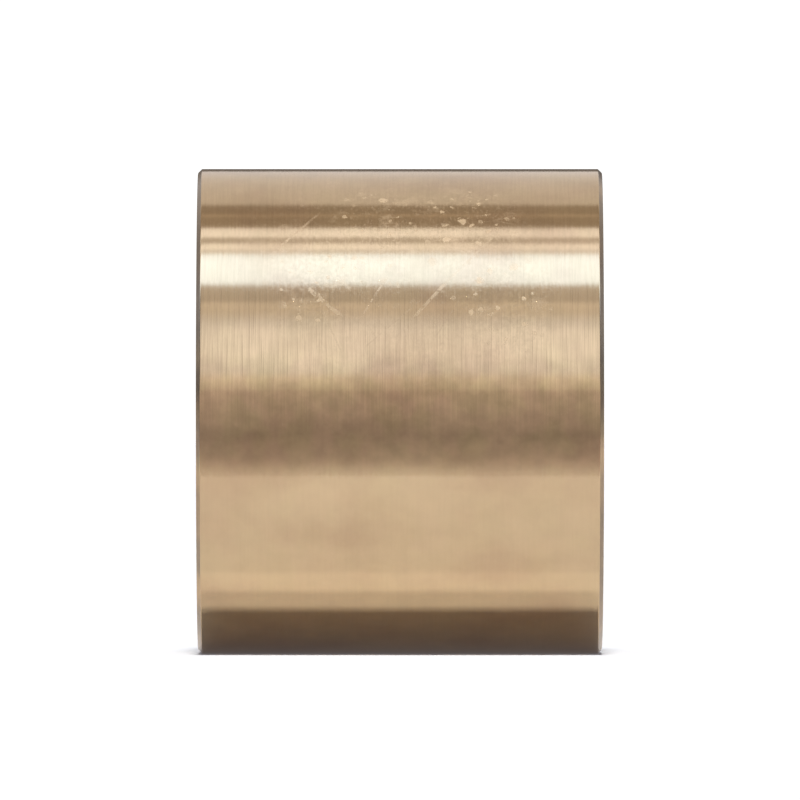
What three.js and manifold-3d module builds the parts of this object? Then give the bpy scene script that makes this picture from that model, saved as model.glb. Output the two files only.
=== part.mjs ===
// A plain sleeve bushing: one piece of bronze, turned all over, with a grease groove cut in its bore.
// Units are millimetres and +Z is up. The bore's axis lies along X, and the origin is the middle of the bore.

import * as THREE from "three";
import { mergeVertices } from "three/addons/utils/BufferGeometryUtils.js";
import Module from "manifold-3d";

const wasm = await Module();
wasm.setup();

// Driving dimensions
const boreDiameter = 50; // runs on the pin
const wallThickness = 5;
const sleeveLength = 50;
const outerChamfer = 0.5; // at 45 degrees, on both outer edges
const boreChamfer = 0.8; // at 45 degrees, on both mouths of the bore
const grooveWidth = 4; // measured at the bore's surface
const grooveDepth = 1;
const grooveEndLand = 5; // plain bore between the groove and each end face

// Facets of the curved surfaces
const ringFacets = 64; // a multiple of four, so that the ring lies and measures on its flats
const grooveSectionFacets = 6;
const grooveStepsPerTurn = 64;

// How far the groove's cutter reaches past what it has to cut
const cutterRise = 1; // into the bore's hollow
const cutterOverlap = THREE.MathUtils.degToRad(2); // past the joint between its two stretches

// Worked out from the driving dimensions
const boreRadius = boreDiameter / 2;
const outerRadius = boreRadius + wallThickness;
const halfLength = sleeveLength / 2;
const cornerShare = 1 / Math.cos(Math.PI / ringFacets); // how far out a facet's corners lie, for a flat at 1
const grooveToolRadius = (grooveWidth ** 2 / 4 + grooveDepth ** 2) / (2 * grooveDepth);
const grooveToolHalfAngle = Math.acos(1 - grooveDepth / grooveToolRadius);
const grooveReach = halfLength - grooveEndLand - grooveWidth / 2;

const bronze = new THREE.MeshStandardMaterial({ color: 0xc6a37a, roughness: 0.3, metalness: 0.95 });

// The middle line of the groove, on the bore's surface. It winds twice round the bore as it swings
// once to each end, so it closes on itself and crosses itself once, at the bottom, as a figure of eight.
class GroovePath extends THREE.Curve {
  constructor(startAngle, endAngle) {
    super();
    this.startAngle = startAngle;
    this.endAngle = endAngle;
  }

  getPoint(t, target = new THREE.Vector3()) {
    const angle = THREE.MathUtils.lerp(this.startAngle, this.endAngle, t);
    const along = grooveReach * Math.sin(angle / 2);
    return target.set(along, boreRadius * Math.sin(angle), -boreRadius * Math.cos(angle));
  }

  // The section's first axis points straight out from the bore's axis all the way, so the depth is even.
  computeFrenetFrames(segments) {
    const frames = { tangents: [], normals: [], binormals: [] };
    for (let i = 0; i <= segments; i += 1) {
      const tangent = this.getTangentAt(i / segments);
      const outward = this.getPointAt(i / segments).setX(0).normalize();
      frames.tangents.push(tangent);
      frames.normals.push(outward);
      frames.binormals.push(new THREE.Vector3().crossVectors(tangent, outward).normalize());
    }
    return frames;
  }
}

// A closed solid from a geometry whose only shared vertices are those at the same place.
function solidFrom(geometry) {
  geometry.deleteAttribute("normal");
  geometry.deleteAttribute("uv");
  const merged = mergeVertices(geometry);
  const vertProperties = merged.getAttribute("position").array;
  const triVerts = Uint32Array.from(merged.index.array);
  return new wasm.Manifold(new wasm.Mesh({ numProp: 3, vertProperties, triVerts }));
}

function geometryFrom(solid) {
  const mesh = solid.getMesh();
  const geometry = new THREE.BufferGeometry();
  geometry.setAttribute("position", new THREE.BufferAttribute(mesh.vertProperties, 3));
  geometry.setIndex(new THREE.BufferAttribute(mesh.triVerts, 1));
  geometry.computeVertexNormals();
  return geometry;
}

// The turned ring. The profile is given as radius and distance along the axis, and closes on itself.
// The flats of its facets lie on the true surfaces, with one at the very bottom for the ring to lie on.
function turnedRing() {
  const profile = [
    [outerRadius - outerChamfer, -halfLength],
    [outerRadius, -halfLength + outerChamfer],
    [outerRadius, halfLength - outerChamfer],
    [outerRadius - outerChamfer, halfLength],
    [boreRadius + boreChamfer, halfLength],
    [boreRadius, halfLength - boreChamfer],
    [boreRadius, -halfLength + boreChamfer],
    [boreRadius + boreChamfer, -halfLength],
    [outerRadius - outerChamfer, -halfLength],
  ].map(([radius, along]) => new THREE.Vector2(radius * cornerShare, along));
  const ring = new THREE.LatheGeometry(profile, ringFacets, Math.PI / ringFacets);
  ring.rotateZ(-Math.PI / 2);
  return solidFrom(ring);
}

// The section of the groove's cutter. Its first axis is the depth below the bore's surface and its
// second is across the groove. The round nose of the tool leaves an arc, with no corner to crack from.
function cutterSection() {
  const section = new THREE.Shape();
  section.moveTo(-cutterRise, -grooveWidth / 2);
  const noseCentre = grooveDepth - grooveToolRadius;
  section.absarc(noseCentre, 0, grooveToolRadius, -grooveToolHalfAngle, grooveToolHalfAngle);
  section.lineTo(-cutterRise, grooveWidth / 2);
  return section;
}

// What the cutter sweeps through in one turn, from one end of the figure of eight to the other.
// Such a stretch is clear of itself, and the two stretches overlap a little where they join.
function grooveStretch(startAngle) {
  const from = startAngle - cutterOverlap;
  const to = startAngle + 2 * Math.PI + cutterOverlap;
  const swept = new THREE.ExtrudeGeometry(cutterSection(), {
    steps: grooveStepsPerTurn,
    curveSegments: grooveSectionFacets / 2,
    extrudePath: new GroovePath(from, to),
  });
  return solidFrom(swept);
}

function sleeve() {
  const cut = turnedRing()
    .subtract(grooveStretch(-Math.PI))
    .subtract(grooveStretch(Math.PI));
  const mesh = new THREE.Mesh(geometryFrom(cut), bronze);
  mesh.name = "sleeve";
  return mesh;
}

const bushing = new THREE.Group();
bushing.name = "sleeve_bushing";
bushing.add(sleeve());

export default bushing;
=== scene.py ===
"""Bronze sleeve bushing: a turned sleeve with a grease groove, lying on its side under soft studio light.

Units are metres. The bore's axis lies along X and the origin is the middle of the bore.
"""

from math import acos, atan2, cos, hypot, pi, radians, sin, tau

import bmesh
import bpy
from mathutils import Matrix, Vector


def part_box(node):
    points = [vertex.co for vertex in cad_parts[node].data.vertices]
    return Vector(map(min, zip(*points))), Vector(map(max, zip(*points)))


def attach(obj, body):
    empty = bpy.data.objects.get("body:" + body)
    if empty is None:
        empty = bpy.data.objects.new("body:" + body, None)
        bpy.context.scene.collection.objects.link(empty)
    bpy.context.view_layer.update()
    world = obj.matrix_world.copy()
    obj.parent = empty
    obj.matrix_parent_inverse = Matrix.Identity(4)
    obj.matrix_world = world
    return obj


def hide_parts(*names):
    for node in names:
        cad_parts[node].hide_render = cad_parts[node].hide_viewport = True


bl_info = {
    "name": "Bronze sleeve bushing",
    "version": (1, 0, 0),
    "blender": (4, 5, 0),
    "location": "3D View > Sidebar > Bushing",
    "description": "Models a turned bronze sleeve bushing and its studio",
    "category": "Add Mesh",
}

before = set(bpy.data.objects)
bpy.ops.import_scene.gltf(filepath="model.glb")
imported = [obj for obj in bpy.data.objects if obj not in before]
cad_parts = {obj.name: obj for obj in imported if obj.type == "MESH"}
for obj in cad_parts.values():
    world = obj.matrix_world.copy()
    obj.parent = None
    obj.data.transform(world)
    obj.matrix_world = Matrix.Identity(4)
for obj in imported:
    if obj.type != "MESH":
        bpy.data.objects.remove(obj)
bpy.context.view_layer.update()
NODE = "sleeve"
NODE_LOW, NODE_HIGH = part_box(NODE)

MM = 0.001
# The order of the piece's material slots
OUTSIDE, END_FACE, BORE, GROOVE, EDGE = range(5)


class SleeveSizes(bpy.types.PropertyGroup):
    """The sizes of the sleeve, as it is turned"""

    length: bpy.props.FloatProperty(
        name="Length",
        description="From one end face to the other",
        default=NODE_HIGH.x - NODE_LOW.x,
        unit="LENGTH",
    )
    outer_diameter: bpy.props.FloatProperty(
        name="Outer diameter",
        description="Across the outside, which is pressed into its housing",
        default=NODE_HIGH.z - NODE_LOW.z,
        unit="LENGTH",
    )
    wall: bpy.props.FloatProperty(
        name="Wall",
        description="From the bore to the outside",
        default=5 * MM,
        unit="LENGTH",
    )
    outer_chamfer: bpy.props.FloatProperty(
        name="Outer chamfer",
        description="At 45 degrees, on both outer edges",
        default=0.5 * MM,
        unit="LENGTH",
    )
    bore_chamfer: bpy.props.FloatProperty(
        name="Bore chamfer",
        description="At 45 degrees, on both mouths of the bore",
        default=0.8 * MM,
        unit="LENGTH",
    )
    edge_round: bpy.props.FloatProperty(
        name="Edge rounding",
        description="How far the corners left by the tool are worn back",
        default=0.07 * MM,
        unit="LENGTH",
    )
    groove_width: bpy.props.FloatProperty(
        name="Groove width",
        description="Across the grease groove, at the bore's surface",
        default=4 * MM,
        unit="LENGTH",
    )
    groove_depth: bpy.props.FloatProperty(
        name="Groove depth",
        description="Of the grease groove, below the bore's surface",
        default=1 * MM,
        unit="LENGTH",
    )
    groove_end_land: bpy.props.FloatProperty(
        name="Groove end land",
        description="Plain bore between the groove and each end face",
        default=5 * MM,
        unit="LENGTH",
    )


class SleeveFinish(bpy.types.PropertyGroup):
    """The colours of the bronze and the size of the marks that its tools leave"""

    bronze: bpy.props.StringProperty(
        name="Bronze",
        description="sRGB colour of the clean, freshly turned bronze",
        default="#CEB38E",
    )
    tarnish: bpy.props.StringProperty(
        name="Tarnish",
        description="sRGB colour of the bronze where handling has tarnished it",
        default="#C3A684",
    )
    dull: bpy.props.StringProperty(
        name="Dull bronze",
        description="sRGB colour of the bronze where it is scuffed and scatters the light",
        default="#D6BA94",
    )
    # The chamfers' colour is painted shade: darker than the bronze, so that a thin dark line shows round
    # each end
    edge: bpy.props.StringProperty(
        name="Edges",
        description="sRGB colour of the chamfers, where dirt and tarnish stay",
        default="#948472",
    )
    feed: bpy.props.FloatProperty(
        name="Feed",
        description="Distance between the tool's marks on the outside",
        default=0.27 * MM,
        unit="LENGTH",
    )


class StudioSettings(bpy.types.PropertyGroup):
    """The camera and the light"""

    camera_distance: bpy.props.FloatProperty(
        name="Camera distance",
        description="From the lens to the bore's axis",
        default=2.46,
        unit="LENGTH",
    )
    brightness: bpy.props.FloatProperty(
        name="Brightness",
        description="Of the whole studio, where 1 leaves the floor just white",
        default=1.0,
    )


def linear_colour(code):
    """Turns an sRGB hex code into the linear red, green, blue and alpha that Blender's shaders take."""
    shares = (int(code[i : i + 2], 16) / 255 for i in (1, 3, 5))
    linear = (c / 12.92 if c <= 0.04045 else ((c + 0.055) / 1.055) ** 2.4 for c in shares)
    return (*linear, 1)


def add_node(tree, kind, inputs=(), **settings):
    """Adds a node with its settings and inputs. The inputs go by name, or in order to the sockets that
    the settings leave in use. Each is a value, or what feeds it: an output, or a node for its first one.
    """
    made = tree.nodes.new("ShaderNode" + kind)
    for name, value in settings.items():
        setattr(made, name, value)
    if isinstance(inputs, dict):
        pairs = [(made.inputs[name], value) for name, value in inputs.items()]
    else:
        pairs = zip([socket for socket in made.inputs if socket.enabled], inputs)
    for socket, value in pairs:
        if isinstance(value, bpy.types.Node):
            value = next(output for output in value.outputs if output.enabled)
        if isinstance(value, bpy.types.NodeSocket):
            tree.links.new(value, socket)
        else:
            socket.default_value = value
    return made


# A Map Range eases in and out with these settings
SMOOTH = {"interpolation_type": "SMOOTHSTEP"}


# The shape of the sleeve


def sleeve_profile(sizes):
    """The section of the wall above the axis, as places along X and out from the axis, in order round it."""
    half = sizes.length / 2
    outer = sizes.outer_diameter / 2
    bore = outer - sizes.wall
    chamfer, lead = sizes.outer_chamfer, sizes.bore_chamfer
    return [
        (-half + lead, bore),
        (half - lead, bore),
        (half, bore + lead),
        (half, outer - chamfer),
        (half - chamfer, outer),
        (-half + chamfer, outer),
        (-half, outer - chamfer),
        (-half, bore + lead),
    ]


RING_STEPS = 360
CORNER_SEGMENTS = 3
# An edge this far from each corner keeps its shading from spreading over the flat beside it
SUPPORT = 0.06 * MM
# Points of the ring's two ends that are closer than this are one
SEAM = 1e-7
# Faces that meet more sharply than this show a crisp edge
SHARP = radians(25)


def ring_mesh(sizes):
    """Turns the profile about X into a closed ring, with its corners rounded."""
    bm = bmesh.new()
    corners = [bm.verts.new((x, 0, -r)) for x, r in sleeve_profile(sizes)]
    for i, corner in enumerate(corners):
        bm.edges.new((corners[i - 1], corner))
    bmesh.ops.bevel(
        bm,
        geom=corners,
        offset=sizes.edge_round,
        segments=CORNER_SEGMENTS,
        profile=0.5,
        affect="VERTICES",
        material=-1,
    )
    for edge in [e for e in bm.edges if e.calc_length() > 4 * SUPPORT]:
        start, end = edge.verts
        share = SUPPORT / edge.calc_length()
        # The edge keeps its far end when it is split, so the second split is made from there
        bmesh.utils.edge_split(edge, start, share)
        bmesh.utils.edge_split(edge, end, share / (1 - share))
    bmesh.ops.spin(
        bm,
        geom=bm.verts[:] + bm.edges[:],
        cent=(0, 0, 0),
        axis=(1, 0, 0),
        dvec=(0, 0, 0),
        angle=tau,
        steps=RING_STEPS,
        use_merge=True,
        use_duplicate=False,
    )
    bmesh.ops.remove_doubles(bm, verts=bm.verts, dist=SEAM)
    bmesh.ops.recalc_face_normals(bm, faces=bm.faces)
    for face in bm.faces:
        face.material_index = surface_at(sizes, face.calc_center_median())
    return finished_mesh(bm, "ring")


def surface_at(sizes, middle):
    """Which of the sleeve's surfaces a face belongs to, by its middle."""
    inward = sizes.length / 2 - abs(middle.x)
    out = hypot(middle.y, middle.z)
    under = sizes.outer_diameter / 2 - out
    over = out - (sizes.outer_diameter / 2 - sizes.wall)
    if max(inward, under) < sizes.outer_chamfer or max(inward, over) < sizes.bore_chamfer:
        return EDGE
    if inward < sizes.edge_round:
        return END_FACE
    return OUTSIDE if under < over else BORE


def finished_mesh(bm, name):
    mesh = bpy.data.meshes.new(name)
    bm.to_mesh(mesh)
    bm.free()
    return mesh


GROOVE_STEPS = 180
NOSE_SEGMENTS = 10
# How far the groove's cutter reaches past what it has to cut
CUTTER_RISE = 1 * MM
CUTTER_OVERLAP = radians(1.5)
GROOVE_LIP = 0.05 * MM


def cutter_section(sizes):
    """The cutter's section, as depths below the bore's surface and places across the groove."""
    half, depth = sizes.groove_width / 2, sizes.groove_depth
    nose = (half**2 + depth**2) / (2 * depth)
    reach = acos(1 - (depth - GROOVE_LIP) / nose)
    points = []
    for i in range(NOSE_SEGMENTS + 1):
        turn = reach * (2 * i / NOSE_SEGMENTS - 1)
        points.append((depth - nose + nose * cos(turn), nose * sin(turn)))
    # A small lip where the burr was rubbed off, and then straight up into the bore's hollow
    points += [(0, half + GROOVE_LIP), (-CUTTER_RISE, half + GROOVE_LIP)]
    points += [(-CUTTER_RISE, -half - GROOVE_LIP), (0, -half - GROOVE_LIP)]
    return points


def groove_place(sizes, angle):
    """Where the cutter stands when it has gone this far round, as a matrix. The groove winds twice round
    the bore while it swings once to each end, and crosses itself at the bottom."""
    bore = sizes.outer_diameter / 2 - sizes.wall
    swing = sizes.length / 2 - sizes.groove_end_land - sizes.groove_width / 2
    out = Vector((0, sin(angle), -cos(angle)))
    forward = Vector((swing * cos(angle / 2) / 2, bore * cos(angle), bore * sin(angle))).normalized()
    across = forward.cross(out)
    place = Matrix((out, across, forward)).transposed().to_4x4()
    place.translation = bore * out + Vector((swing * sin(angle / 2), 0, 0))
    return place


def cutter_mesh(sizes, start):
    """What the cutter sweeps through in one turn round the bore, from one end of the figure to the other."""
    bm = bmesh.new()
    ring = [bm.verts.new((depth, across, 0)) for depth, across in cutter_section(sizes)]
    first = bm.faces.new(ring)
    edges = first.edges[:]
    place = groove_place(sizes, start - CUTTER_OVERLAP)
    bmesh.ops.transform(bm, matrix=place, verts=ring)
    for step in range(1, GROOVE_STEPS + 1):
        angle = start - CUTTER_OVERLAP + (tau + 2 * CUTTER_OVERLAP) * step / GROOVE_STEPS
        swept = bmesh.ops.extrude_edge_only(bm, edges=edges)["geom"]
        onward = groove_place(sizes, angle)
        moved = [v for v in swept if isinstance(v, bmesh.types.BMVert)]
        bmesh.ops.transform(bm, matrix=onward @ place.inverted(), verts=moved)
        edges = [e for e in swept if isinstance(e, bmesh.types.BMEdge) and e.is_boundary]
        place = onward
    bmesh.ops.holes_fill(bm, edges=[e for e in bm.edges if e.is_boundary], sides=0)
    bmesh.ops.recalc_face_normals(bm, faces=bm.faces)
    for face in bm.faces:
        face.material_index = GROOVE
    return finished_mesh(bm, "cutter")


def cut(piece, cutter):
    """Takes a cutter's solid out of the piece for good, and throws the cutter away."""
    change = piece.modifiers.new("cut", "BOOLEAN")
    change.object = cutter
    change.operation = "DIFFERENCE"
    change.solver = "EXACT"
    change.material_mode = "INDEX"
    seen = bpy.context.evaluated_depsgraph_get()
    mesh = bpy.data.meshes.new_from_object(piece.evaluated_get(seen))
    piece.modifiers.clear()
    old, piece.data = piece.data, mesh
    bpy.data.meshes.remove(old)
    spent = cutter.data
    bpy.data.objects.remove(cutter)
    bpy.data.meshes.remove(spent)


def unroll(mesh, profile):
    """Lays the turned surface out flat in a map: once round the axis across it, and once round the
    wall's section up it."""
    legs = []
    length = 0.0
    for i, start in enumerate(profile):
        end = profile[(i + 1) % len(profile)]
        run = Vector(end) - Vector(start)
        legs.append((Vector(start), run, length))
        length += run.length
    layer = mesh.uv_layers.new(name="OFBake")
    for polygon in mesh.polygons:
        middle = Vector((polygon.center.x, hypot(polygon.center.y, polygon.center.z)))
        start, run, before = min(legs, key=lambda leg: off_leg(middle, leg))
        turn = atan2(polygon.center.y, polygon.center.z)
        for loop in polygon.loop_indices:
            place = mesh.vertices[mesh.loops[loop].vertex_index].co
            along = (Vector((place.x, hypot(place.y, place.z))) - start).dot(run.normalized())
            swing = (atan2(place.y, place.z) - turn + pi) % tau - pi
            layer.data[loop].uv = ((turn + swing) / tau + 0.5, (before + along) / length)


def off_leg(point, leg):
    """How far a point of the section lies from one leg of the profile."""
    start, run, _ = leg
    share = (point - start).dot(run) / run.length_squared
    return (point - start - run * min(max(share, 0), 1)).length


# The finish of the bronze

# How the marks of each tool lie on their surface: round the axis, or in rings on the end faces
TURNED, FACED = "TURNED", "FACED"

# Where the outside has been handled, by its middle, and where it has been knocked
HANDLED = Vector((0, -23, 19)) * MM
KNOCKS = (
    Vector((-9.5, -26, 14.8)) * MM,
    Vector((12.5, -27, 13)) * MM,
    Vector((8, -18, 24)) * MM,
    Vector((-2, -18.5, 23.6)) * MM,
)
# Straight scratches across the handled place, by where each starts and ends along X and up, its half
# width and how deep it has cut, from 0 to 1
SCRATCHES = (
    ((1.2, 11.0), (6.2, 16.4), 0.26, 0.55),
    ((5.6, 15.8), (12.6, 22.5), 0.14, 0.4),
    ((-11.4, 15.2), (-6.6, 11.2), 0.34, 0.6),
    ((-9.6, 12.6), (-7.0, 6.9), 0.16, 0.45),
    ((-5.2, 10.8), (-1.8, 16.2), 0.16, 0.5),
    ((-4.6, 7.6), (3.4, 14.4), 0.1, 0.35),
    ((-15.0, 20.0), (-9.4, 24.8), 0.16, 0.45),
    ((4.0, 8.6), (7.5, 13.9), 0.1, 0.35),
)


# How much of the dull finish the worst knocks take on, and how much rougher and less like metal the
# dull finish is than the bright one
DULLEST = 0.66
ROUGHER = 0.3
DULL_METAL = 0.5
# How much of the tool's lines in the colour, partly painted glints, is left on the lower half, where the
# light that picks them out doesn't reach, and how deep the dents round a knock are beside those marks
UNLIT_STREAKS = 0.2
DENTS = 0.2


def blotches(tree, place, size, detail=2.0):
    """Noise whose blotches have this size along each axis, in metres."""
    scaled = add_node(tree, "Mapping", {"Vector": place, "Scale": [1 / s for s in size]})
    return add_node(tree, "TexNoise", (scaled, 1.0, detail))


def warped(tree, place, size, reach):
    """The place, pushed about by up to this reach, so that a pattern on it has ragged edges."""
    scaled = add_node(tree, "VectorMath", (place, 1 / size), operation="SCALE")
    push = add_node(tree, "TexNoise", (scaled, 1.0, 3.0)).outputs["Color"]
    push = add_node(tree, "VectorMath", (push, (0.5, 0.5, 0.5)), operation="SUBTRACT")
    push = add_node(tree, "VectorMath", (push, 2 * reach), operation="SCALE")
    return add_node(tree, "VectorMath", (place, push), operation="ADD")


def spots(tree, place, spacing, largest, share):
    """Ragged dull spots of mixed sizes, one to a cell, in this share of the cells."""
    ragged = warped(tree, place, 0.7 * MM, 0.45 * MM)
    cells = add_node(tree, "TexVoronoi", (ragged, 1 / spacing)).outputs
    mixed = add_node(tree, "SeparateColor", (cells["Color"],))
    size = add_node(tree, "MapRange", (mixed, 1 - share, 1, 0, largest / spacing), **SMOOTH)
    gap = add_node(tree, "Math", (size, cells["Distance"]), operation="SUBTRACT")
    return add_node(tree, "MapRange", (gap, 0, 0.35 * largest / spacing), **SMOOTH)


def hairlines(tree, place, size, turn, width):
    """Fine scratches: the edges between long thin cells, broken up by noise."""
    ragged = warped(tree, place, 5 * MM, 0.8 * MM)
    scaled = add_node(
        tree, "Mapping", {"Vector": ragged, "Rotation": turn, "Scale": [1 / s for s in size]}
    )
    gap = add_node(tree, "TexVoronoi", (scaled, 1.0), feature="DISTANCE_TO_EDGE")
    line = add_node(tree, "MapRange", (gap, 0, width / min(size), 1, 0), **SMOOTH)
    breaks = blotches(tree, place, (3 * MM,) * 3, 1.0)
    broken = add_node(tree, "MapRange", (breaks, 0.5, 0.6), **SMOOTH)
    return add_node(tree, "Math", (line, broken), operation="MULTIPLY")


def scratch(tree, place, start, end, half_width, depth):
    """One straight scratch, as seen square on from the front."""
    run = Vector((end[0] - start[0], end[1] - start[1])) * MM
    # Along the scratch from 0 to 1, and off its middle line in half widths
    local = add_node(
        tree,
        "Mapping",
        {
            "Vector": place,
            "Location": (start[0] * MM, 0, start[1] * MM),
            "Rotation": (0, -atan2(run.y, run.x), 0),
            "Scale": (run.length, 1, half_width * MM),
        },
        vector_type="TEXTURE",
    )
    along, _, off = add_node(tree, "SeparateXYZ", (local,)).outputs
    off = add_node(tree, "Math", (off,), operation="ABSOLUTE")
    line = add_node(tree, "MapRange", (off, 0.5, 1.1, depth, 0), **SMOOTH)
    started = add_node(tree, "MapRange", (along, 0, 0.06), **SMOOTH)
    ended = add_node(tree, "MapRange", (along, 0.8, 1, 1, 0), **SMOOTH)
    for share in (started, ended):
        line = add_node(tree, "Math", (line, share), operation="MULTIPLY")
    return line


def closeness(tree, place, middle, full, out, most, least):
    """Falls from most to least as the place gets further from the middle."""
    gap = add_node(tree, "VectorMath", (place, middle), operation="DISTANCE")
    return add_node(tree, "MapRange", (gap, full, out, most, least), **SMOOTH)


def tool_lay(tree, place, lay):
    """The place, laid out so that its X crosses the tool's marks, and the direction across them."""
    if lay == TURNED:
        return place, add_node(tree, "CombineXYZ", (1.0,))
    _, y, z = add_node(tree, "SeparateXYZ", (place,)).outputs
    outward = add_node(tree, "CombineXYZ", {"Y": y, "Z": z})
    out = add_node(tree, "VectorMath", (outward,), operation="LENGTH")
    return add_node(tree, "CombineXYZ", (out, y, z)), outward


def wear(tree, place, across, handled):
    """How much the place has been handled, and how dull its knocks, scuffs and scratches have made it."""
    smudges = blotches(tree, place, (4 * MM, 3 * MM, 3 * MM), 5.0)
    grime = blotches(tree, place, (0.7 * MM,) * 3, 3.0)
    flecks = blotches(tree, across, (0.3 * MM, 0.6 * MM, 0.6 * MM), 3.0)

    near = closeness(tree, place, HANDLED, 9 * MM, 23 * MM, 0.5, 0.08)
    for knock in KNOCKS:
        knocked = closeness(tree, place, knock, 3 * MM, 10 * MM, 1, 0)
        near = add_node(tree, "Math", (near, knocked), operation="MAXIMUM")
    patchy = add_node(tree, "MapRange", (smudges, 0.38, 0.52, 0.45, 1), **SMOOTH)
    near = add_node(tree, "Math", (near, patchy), operation="MULTIPLY")

    lines = hairlines(tree, place, (9 * MM, 9 * MM, 2 * MM), (0, radians(42), 0), 0.09 * MM)
    dull = spots(tree, place, 2 * MM, 0.75 * MM, 0.85)
    for more in (
        spots(tree, place, 1.1 * MM, 0.42 * MM, 0.8),
        add_node(tree, "Math", (lines, 0.5), operation="MULTIPLY"),
        add_node(tree, "MapRange", (smudges, 0.55, 0.66, 0, 0.5), **SMOOTH),
    ):
        dull = add_node(tree, "Math", (dull, more), operation="MAXIMUM")
    gritty = add_node(tree, "MapRange", (grime, 0.35, 0.5, 0.55, 1), **SMOOTH)
    for share in (near, gritty):
        dull = add_node(tree, "Math", (dull, share), operation="MULTIPLY")
    if handled:
        _, y, _ = add_node(tree, "SeparateXYZ", (place,)).outputs
        front = add_node(tree, "MapRange", (y, -3 * MM, -1 * MM, 1, 0), **SMOOTH)
        broken = add_node(tree, "MapRange", (grime, 0.33, 0.52, 0.25, 1.25), **SMOOTH)
        cuts = 0.0
        for line in SCRATCHES:
            cuts = add_node(tree, "Math", (cuts, scratch(tree, place, *line)), operation="MAXIMUM")
        for share in (front, broken):
            cuts = add_node(tree, "Math", (cuts, share), operation="MULTIPLY")
        dull = add_node(tree, "Math", (dull, cuts), operation="MAXIMUM")
    dull = add_node(tree, "Math", (dull, DULLEST), operation="MULTIPLY")

    fleck = add_node(tree, "MapRange", (flecks, 0.5, 0.66, 0, 0.22), **SMOOTH)
    often = add_node(tree, "MapRange", (near, 0, 1, 0.35, 1), **SMOOTH)
    fleck = add_node(tree, "Math", (fleck, often), operation="MULTIPLY")
    return near, add_node(tree, "Math", (dull, fleck), operation="MAXIMUM")


def tarnished(tree, place, clouds, clean, tarnish):
    """The alloy's colour, tarnished in soft clouds. Stains shift its hue a little between pink and olive,
    most of all half way up, where fingers have gripped it."""
    stains = blotches(tree, place, (2.6 * MM, 3 * MM, 2.4 * MM), 4.0)
    hues = blotches(tree, place, (3.6 * MM, 5 * MM, 4.4 * MM), 3.0)
    cloudy = add_node(tree, "MapRange", (clouds, 0.4, 0.75), **SMOOTH)
    colour = add_node(tree, "Mix", (cloudy, clean, tarnish), data_type="RGBA")

    hue = add_node(tree, "MapRange", (hues, 0.35, 0.65), **SMOOTH)
    pink, olive = linear_colour("#FFFBF9"), linear_colour("#FBFDF3")
    stain = add_node(tree, "Mix", (hue, pink, olive), data_type="RGBA")
    shade = add_node(tree, "MapRange", (stains, 0.3, 0.7, 0.92, 1.13), **SMOOTH)
    stain = add_node(tree, "VectorMath", (stain, shade), operation="SCALE")

    _, _, up = add_node(tree, "SeparateXYZ", (place,)).outputs
    below = add_node(tree, "MapRange", (up, 2 * MM, 9 * MM, 1, 0.25), **SMOOTH)
    above = add_node(tree, "MapRange", (up, -9 * MM, -3 * MM, 0.25, 1), **SMOOTH)
    gripped = add_node(tree, "Math", (below, above), operation="MULTIPLY")
    return add_node(tree, "Mix", (gripped, colour, stain), data_type="RGBA", blend_type="MULTIPLY")


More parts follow.
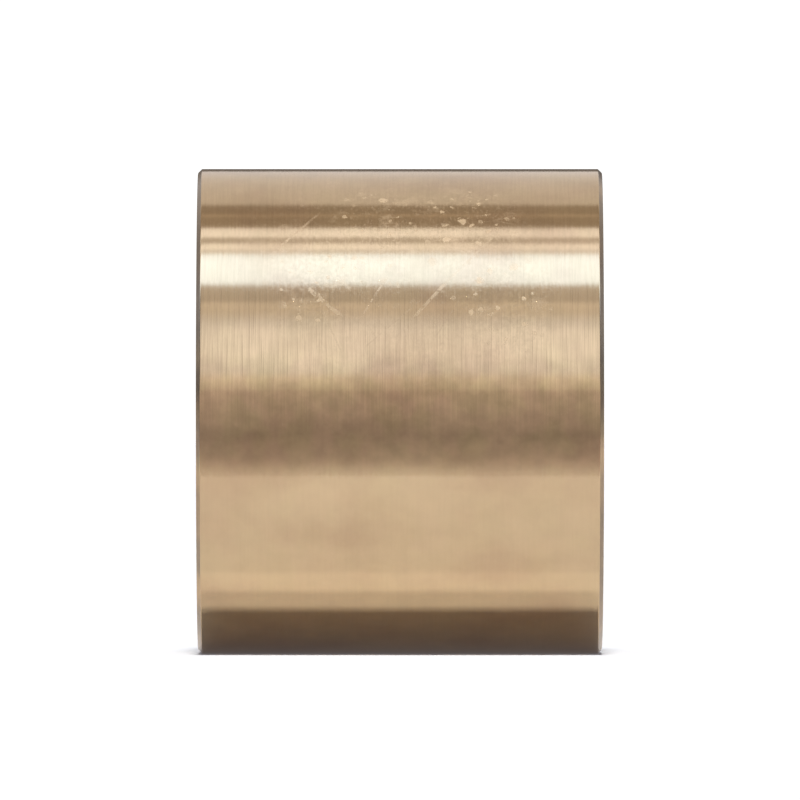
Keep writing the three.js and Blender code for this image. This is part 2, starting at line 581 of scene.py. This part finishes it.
def machined_bronze(name, finish, clean_code, lay, mark, gloss, handled=False):
    """Machined bronze. Its colour is the alloy's, a little tarnished. The tool has left fine marks side
    by side, so that it mirrors sharply along them and smears reflections across them. Knocks, scuffs and
    scratches are duller and paler, and scatter the light.

    mark is the width of the tool's marks, how high they stand and how much their lines, partly painted
    glints, shade the colour, and gloss is the roughness between them.
    """
    width, height, grain_and_glint = mark
    material = bpy.data.materials.new(name)
    material.use_nodes = True
    tree = material.node_tree
    tree.nodes.clear()
    place = add_node(tree, "TexCoord").outputs["Object"]
    across, grain = tool_lay(tree, place, lay)
    fine = blotches(tree, across, (0.6 * width, 5 * MM, 5 * MM), 0.0)
    coarse = blotches(tree, across, (1.2 * width, 9 * MM, 9 * MM), 0.0)
    ridges = add_node(tree, "Math", (fine, coarse), operation="ADD")
    clouds = blotches(tree, place, (13 * MM, 9 * MM, 9 * MM), 4.0)
    mottle = blotches(tree, place, (0.5 * MM, 0.7 * MM, 0.6 * MM))
    near, dull = wear(tree, place, across, handled)

    # The tool's marks shade the colour in fine light and dark lines: partly their own grain, partly painted
    # glints of the narrow light that picks them out. The lines are painted fainter at the top and, on the
    # outside, faintest on the lower half, where that light doesn't reach them
    _, _, up = add_node(tree, "SeparateXYZ", (place,)).outputs
    unlit_streaks = UNLIT_STREAKS if handled else 1.0
    low = add_node(tree, "MapRange", (up, -4 * MM, 3 * MM, unlit_streaks, 1), **SMOOTH)
    high = add_node(tree, "MapRange", (up, 9 * MM, 13 * MM, 1, 0.5), **SMOOTH)
    grain_and_glints = add_node(tree, "MapRange", (ridges, 0.75, 1.25, -grain_and_glint, grain_and_glint), **SMOOTH)
    for share in (low, high):
        grain_and_glints = add_node(tree, "Math", (grain_and_glints, share), operation="MULTIPLY")
    patches = add_node(tree, "MapRange", (mottle, 0.35, 0.65, -0.05, 0.05), **SMOOTH)
    patches = add_node(tree, "Math", (patches, near), operation="MULTIPLY")
    shade = add_node(tree, "Math", (grain_and_glints, patches), operation="ADD")
    shade = add_node(tree, "Math", (shade, 1.0), operation="ADD")
    clean, tarnish = linear_colour(clean_code), linear_colour(finish.tarnish)
    colour = tarnished(tree, place, clouds, clean, tarnish)
    colour = add_node(tree, "VectorMath", (colour, shade), operation="SCALE")
    colour = add_node(tree, "Mix", (dull, colour, linear_colour(finish.dull)), data_type="RGBA")

    smooth = add_node(tree, "MapRange", (clouds, 0.3, 0.7, gloss - 0.01, gloss + 0.02), **SMOOTH)
    rougher = add_node(tree, "Math", (dull, ROUGHER), operation="MULTIPLY")
    dents = add_node(tree, "Math", (mottle, near), operation="MULTIPLY")
    dents = add_node(tree, "Math", (dents, DENTS), operation="MULTIPLY")
    relief = add_node(tree, "Math", (ridges, dents), operation="ADD")
    shader = add_node(
        tree,
        "BsdfPrincipled",
        {
            "Base Color": colour,
            "Metallic": add_node(tree, "MapRange", (dull, 0, 1, 1, DULL_METAL), **SMOOTH),
            "Roughness": add_node(tree, "Math", (smooth, rougher), operation="ADD"),
            "Anisotropic": 0.9,
            "Tangent": grain,
            "Normal": add_node(tree, "Bump", {"Height": relief, "Distance": height}),
        },
    )
    add_node(tree, "OutputMaterial", (shader,))
    return material


def bushing_finishes(finish):
    """The bronze as each tool has left it, in the order of the piece's slots."""
    bronze = finish.bronze
    return (
        # Turned with a fine feed and then handled: crisp bands of light, crossed by fine bright lines
        machined_bronze(
            "turned_bronze", finish, bronze, TURNED, (finish.feed, 16e-6, 0.05), 0.15, handled=True
        ),
        # Faced: rings of fine marks round the axis, drawn coarser than a real 0.1 mm so that they show
        machined_bronze("faced_bronze", finish, bronze, FACED, (0.22 * MM, 12e-6, 0.1), 0.3),
        # Bored and run in: softer than the outside, with a satin sheen along the bore
        machined_bronze("bored_bronze", finish, bronze, TURNED, (0.35 * MM, 12e-6, 0.06), 0.24),
        # Milled with a round tool: the roughest cut, so it mirrors the least
        machined_bronze("milled_bronze", finish, bronze, TURNED, (0.5 * MM, 2e-5, 0.06), 0.36),
        # The chamfers, painted darker than the bronze: painted shade that draws a thin dark line round each
        # end
        machined_bronze("shaded_edge_bronze", finish, finish.edge, TURNED, (0.3 * MM, 6e-6, 0.05), 0.3),
    )


class BUSHING_OT_sleeve(bpy.types.Operator):
    """Models the turned sleeve with its grease groove"""

    bl_idname = "bushing.sleeve"
    bl_label = "Sleeve"

    def execute(self, context):
        sizes = context.scene.sleeve_sizes
        finish = context.scene.sleeve_finish
        piece = bpy.data.objects.new("turned_sleeve", ring_mesh(sizes))
        context.scene.collection.objects.link(piece)
        for material in bushing_finishes(finish):
            piece.data.materials.append(material)
        for start in (-pi, pi):
            cutter = bpy.data.objects.new("cutter", cutter_mesh(sizes, start))
            context.scene.collection.objects.link(cutter)
            cut(piece, cutter)
        piece.data.shade_smooth()
        piece.data.set_sharp_from_angle(angle=SHARP)
        unroll(piece.data, sleeve_profile(sizes))
        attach(piece, "root")
        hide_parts(NODE)
        return {"FINISHED"}


# The studio

SENSOR = 36 * MM
VIEW_WIDTH = 99.1 * MM  # how much of the plane through the axis the picture spans
VIEW_RISE = 1.39 * MM  # how far the picture's middle lies above the axis

# The tints of the light, as sRGB: cool from the lamps, warm where dark cloth or the room is mirrored
LAMP, SKY, DAY, CARD, DUSK = "#C5DCFF", "#EAF0FF", "#FFFDFF", "#FFF6FA", "#FFF0E2"
# What the bushing mirrors at each angle up from the front horizon and over the top to the back, in
# degrees: how bright it is, where 1 is white paper, and its tint
LIGHT_BANDS = (
    # The room in front of the table
    (0, 0.5, DUSK),
    (12, 0.74, DAY),
    (15, 0.9, DAY),
    # The ceiling, which a broad light fills unevenly
    (19, 1.02, SKY),
    (27, 1.22, SKY),
    (38, 1.18, SKY),
    (43, 0.93, SKY),
    (48.5, 0.74, DAY),
    (51.5, 0.81, DAY),
    (52.8, 0.8, DAY),
    (53.8, 0.57, DAY),
    (61.6, 0.61, DAY),
    # The softbox overhead
    (63.8, 1.95, LAMP),
    (76, 2.2, LAMP),
    (79.6, 2.0, LAMP),
    (81.3, 1.2, SKY),
    (82.6, 0.95, SKY),
    # Its frame and the strip light behind it
    (84, 1.55, SKY),
    (86.6, 1.5, SKY),
    (88, 0.66, DAY),
    (90.6, 0.66, DAY),
    (92, 1.5, SKY),
    (97.2, 1.4, SKY),
    # A dark cloth flag with a seam across it
    (98.6, 0.38, DUSK),
    (105.8, 0.36, DUSK),
    (107.3, 0.56, DUSK),
    (108.8, 0.36, DUSK),
    (115, 0.35, DUSK),
    # The wall behind the table
    (117.4, 0.76, DAY),
    (162, 0.82, DAY),
    # The dark edge of the table's far side
    (163.5, 0.15, DUSK),
    (180, 0.15, DUSK),
)
# The bands' colours are kept as shares of this brightness
BAND_PEAK = 4.0

# The dark card in front of the table, which only the bronze can see: how far in front of the axis it
# stands, how far it reaches above the axis, and what the bronze sees on it from its foot to its top
CARD_DISTANCE = 66 * MM
CARD_TOP = 9 * MM
CARD_WIDTH = 600 * MM
CARD_SHADES = (
    (0.0, 0.86, DAY),
    (0.08, 0.74, DAY),
    (0.16, 0.56, CARD),
    (0.25, 0.45, CARD),
    (0.5, 0.34, CARD),
    (0.66, 0.41, CARD),
    (0.77, 0.47, CARD),
    (1.0, 0.58, CARD),
)


# How far the floor reaches each way, in metres, and its glow. White paper hangs behind it, this bright
FLOOR_REACH = 12
FLOOR_GLOW = 0.09
BACKDROP = 1.1
# The lamps that light the floor: name, strength, and height and width as angles in degrees
SUNS = (("high_sun", 1.42, 66, 4), ("low_sun", 3.3, 55, 6))


class BUSHING_OT_studio(bpy.types.Operator):
    """Sets up the floor, the light and the camera"""

    bl_idname = "bushing.studio"
    bl_label = "Studio"

    def execute(self, context):
        studio = context.scene.studio_settings
        add_floor(context.scene)
        add_card(context.scene, studio)
        add_sky(context.scene, studio)
        for name, strength, height, width in SUNS:
            add_sun(context.scene, name, strength * studio.brightness, height, width)
        add_camera(context.scene, studio)
        return {"FINISHED"}


def add_floor(scene):
    bm = bmesh.new()
    bmesh.ops.create_grid(bm, x_segments=1, y_segments=1, size=FLOOR_REACH)
    bmesh.ops.translate(bm, verts=bm.verts, vec=(0, 0, NODE_LOW.z))
    floor = bpy.data.objects.new("floor", finished_mesh(bm, "floor"))
    scene.collection.objects.link(floor)
    # Matt white paper: no gloss, so that it carries no reflection of the lights
    material = bpy.data.materials.new("white_paper")
    material.use_nodes = True
    tree = material.node_tree
    tree.nodes.clear()
    place = add_node(tree, "TexCoord").outputs["Object"]
    _, forward, _ = add_node(tree, "SeparateXYZ", (place,)).outputs
    # Painted shade on the paper: the bronze alone sees it faintly greyer just in front of it, which darkens
    # that strip of its reflection
    rays = add_node(tree, "LightPath").outputs
    begun = add_node(tree, "MapRange", (forward, -60 * MM, -30 * MM), **SMOOTH)
    ended = add_node(tree, "MapRange", (forward, -24.5 * MM, -23 * MM, 1, 0), **SMOOTH)
    painted_shade = rays["Is Glossy Ray"]
    for share in (begun, ended):
        painted_shade = add_node(tree, "Math", (painted_shade, share), operation="MULTIPLY")
    white, shaded_paper = linear_colour("#CBCBCB"), linear_colour("#C1C1C1")
    shade = add_node(tree, "Mix", (painted_shade, white, shaded_paper), data_type="RGBA")
    paper = add_node(tree, "BsdfDiffuse", (shade,))
    # A faint glow stands in for the light that the room throws into the shadow
    glow = add_node(tree, "Emission", (linear_colour("#F0ECF8"), FLOOR_GLOW))
    both = add_node(tree, "AddShader", (paper, glow))
    add_node(tree, "OutputMaterial", (both,))
    floor.data.materials.append(material)


def add_card(scene, studio):
    """The card is lit evenly by itself, so it is drawn as a glow and casts no light on the floor."""
    bottom = NODE_LOW.z
    bm = bmesh.new()
    bmesh.ops.create_grid(bm, x_segments=1, y_segments=1, size=0.5)
    bmesh.ops.scale(bm, verts=bm.verts, vec=(CARD_WIDTH, CARD_TOP - bottom, 1))
    bmesh.ops.rotate(bm, verts=bm.verts, cent=(0, 0, 0), matrix=Matrix.Rotation(pi / 2, 3, "X"))
    bmesh.ops.translate(bm, verts=bm.verts, vec=(0, -CARD_DISTANCE, (CARD_TOP + bottom) / 2))
    card = bpy.data.objects.new("dark_card", finished_mesh(bm, "dark_card"))
    scene.collection.objects.link(card)
    card.visible_camera = False
    card.visible_diffuse = False
    card.visible_shadow = False
    card.visible_transmission = False
    material = bpy.data.materials.new("dark_card")
    material.use_nodes = True
    tree = material.node_tree
    tree.nodes.clear()
    place = add_node(tree, "TexCoord").outputs["Object"]
    _, _, height = add_node(tree, "SeparateXYZ", (place,)).outputs
    share = add_node(tree, "MapRange", (height, bottom, CARD_TOP))
    shades = add_bands(tree, share, CARD_SHADES, 1)
    glow = add_node(tree, "Emission", (shades, BAND_PEAK * studio.brightness))
    add_node(tree, "OutputMaterial", (glow,))
    card.data.materials.append(material)


def add_bands(tree, share, bands, whole):
    """Turns a share of the whole into the colour of the band that it falls in, as a share of the peak."""
    ramp = add_node(tree, "ValToRGB", (share,))
    elements = ramp.color_ramp.elements
    while len(elements) < len(bands):
        elements.new(1)
    for element, (place, brightness, tint) in zip(elements, bands, strict=True):
        red, green, blue, _ = linear_colour(tint)
        scale = brightness / BAND_PEAK / green
        element.position = place / whole
        element.color = (red * scale, green * scale, blue * scale, 1)
    return ramp


def add_sky(scene, studio):
    world = bpy.data.worlds.new("studio")
    scene.world = world
    world.use_nodes = True
    tree = world.node_tree
    tree.nodes.clear()
    way = add_node(tree, "TexCoord").outputs["Generated"]
    side, forward, up = add_node(tree, "SeparateXYZ", (way,)).outputs
    up = add_node(tree, "Math", (up,), operation="ABSOLUTE")
    front = add_node(tree, "Math", (forward, -1.0), operation="MULTIPLY")
    angle = add_node(tree, "Math", (up, front), operation="ARCTAN2")
    share = add_node(tree, "Math", (angle, pi), operation="DIVIDE")
    bands = add_bands(tree, share, LIGHT_BANDS, 180)
    # The bands fade towards the sides of the room
    aside = add_node(tree, "Math", (side,), operation="ABSOLUTE")
    fade = add_node(tree, "MapRange", (aside, 0.3, 0.9, 1, 0.7), **SMOOTH)
    # The ceiling's light is narrow and off to one side, so that it picks out the tool's marks
    off = add_node(tree, "Math", (side, 0.07), operation="SUBTRACT")
    off = add_node(tree, "Math", (off,), operation="ABSOLUTE")
    narrow = add_node(tree, "MapRange", (off, 0.05, 0.6, 1.16, 0.2), **SMOOTH)
    begun = add_node(tree, "MapRange", (share, 12 / 180, 20 / 180), **SMOOTH)
    ended = add_node(tree, "MapRange", (share, 61 / 180, 62.5 / 180, 1, 0), **SMOOTH)
    ceiling = add_node(tree, "Math", (begun, ended), operation="MULTIPLY")
    fade = add_node(tree, "Mix", (ceiling, fade, narrow))
    # The sky lights the floor more weakly than it shows in the bronze, and the two suns make up for it
    rays = add_node(tree, "LightPath").outputs
    lit = add_node(tree, "MapRange", (rays["Is Diffuse Ray"], 0, 1, 1, 0.4), **SMOOTH)
    strength = BAND_PEAK * studio.brightness
    for share in (fade, lit):
        strength = add_node(tree, "Math", (share, strength), operation="MULTIPLY")
    mirrored = add_node(tree, "Background", (bands, strength))
    # Behind the bushing the camera sees the white paper that the table is hung with
    seen = add_node(tree, "Background", (linear_colour("#FFFFFF"), BACKDROP * studio.brightness))
    both = add_node(tree, "MixShader", (rays["Is Camera Ray"], mirrored, seen))
    add_node(tree, "OutputWorld", (both,))


def add_sun(scene, name, strength, height, width):
    """A lamp far in front, which only lights the floor: height and width are angles in degrees."""
    sun = bpy.data.objects.new(name, bpy.data.lights.new(name, "SUN"))
    scene.collection.objects.link(sun)
    sun.data.energy = strength
    sun.data.angle = radians(width)
    sun.rotation_euler = (radians(90 - height), 0, 0)
    sun.visible_glossy = False


def add_camera(scene, studio):
    camera = bpy.data.objects.new("camera", bpy.data.cameras.new("camera"))
    scene.collection.objects.link(camera)
    camera.data.sensor_width = SENSOR / MM
    camera.data.lens = SENSOR / VIEW_WIDTH * studio.camera_distance / MM
    camera.data.clip_end = 100
    camera.location = (0, -studio.camera_distance, VIEW_RISE)
    camera.rotation_euler = (pi / 2, 0, 0)
    scene.camera = camera
    scene.view_settings.view_transform = "Standard"


class BUSHING_PT_panel(bpy.types.Panel):
    """The bushing's sizes, finish and studio, and the steps that make them"""

    bl_label = "Bronze sleeve bushing"
    bl_space_type = "VIEW_3D"
    bl_region_type = "UI"
    bl_category = "Bushing"

    def draw(self, context):
        for group, operator in (
            (context.scene.sleeve_sizes, BUSHING_OT_sleeve),
            (context.scene.sleeve_finish, BUSHING_OT_sleeve),
            (context.scene.studio_settings, BUSHING_OT_studio),
        ):
            box = self.layout.box()
            for name in group.bl_rna.properties.keys():
                if name not in ("rna_type", "name"):
                    box.prop(group, name)
            box.operator(operator.bl_idname)


CLASSES = (
    SleeveSizes,
    SleeveFinish,
    StudioSettings,
    BUSHING_OT_sleeve,
    BUSHING_OT_studio,
    BUSHING_PT_panel,
)


def register():
    for item in CLASSES:
        bpy.utils.register_class(item)
    bpy.types.Scene.sleeve_sizes = bpy.props.PointerProperty(type=SleeveSizes)
    bpy.types.Scene.sleeve_finish = bpy.props.PointerProperty(type=SleeveFinish)
    bpy.types.Scene.studio_settings = bpy.props.PointerProperty(type=StudioSettings)


def unregister():
    del bpy.types.Scene.studio_settings
    del bpy.types.Scene.sleeve_finish
    del bpy.types.Scene.sleeve_sizes
    for item in reversed(CLASSES):
        bpy.utils.unregister_class(item)


def main():
    register()
    bpy.ops.bushing.studio()
    bpy.ops.bushing.sleeve()


if __name__ == "__main__":
    main()
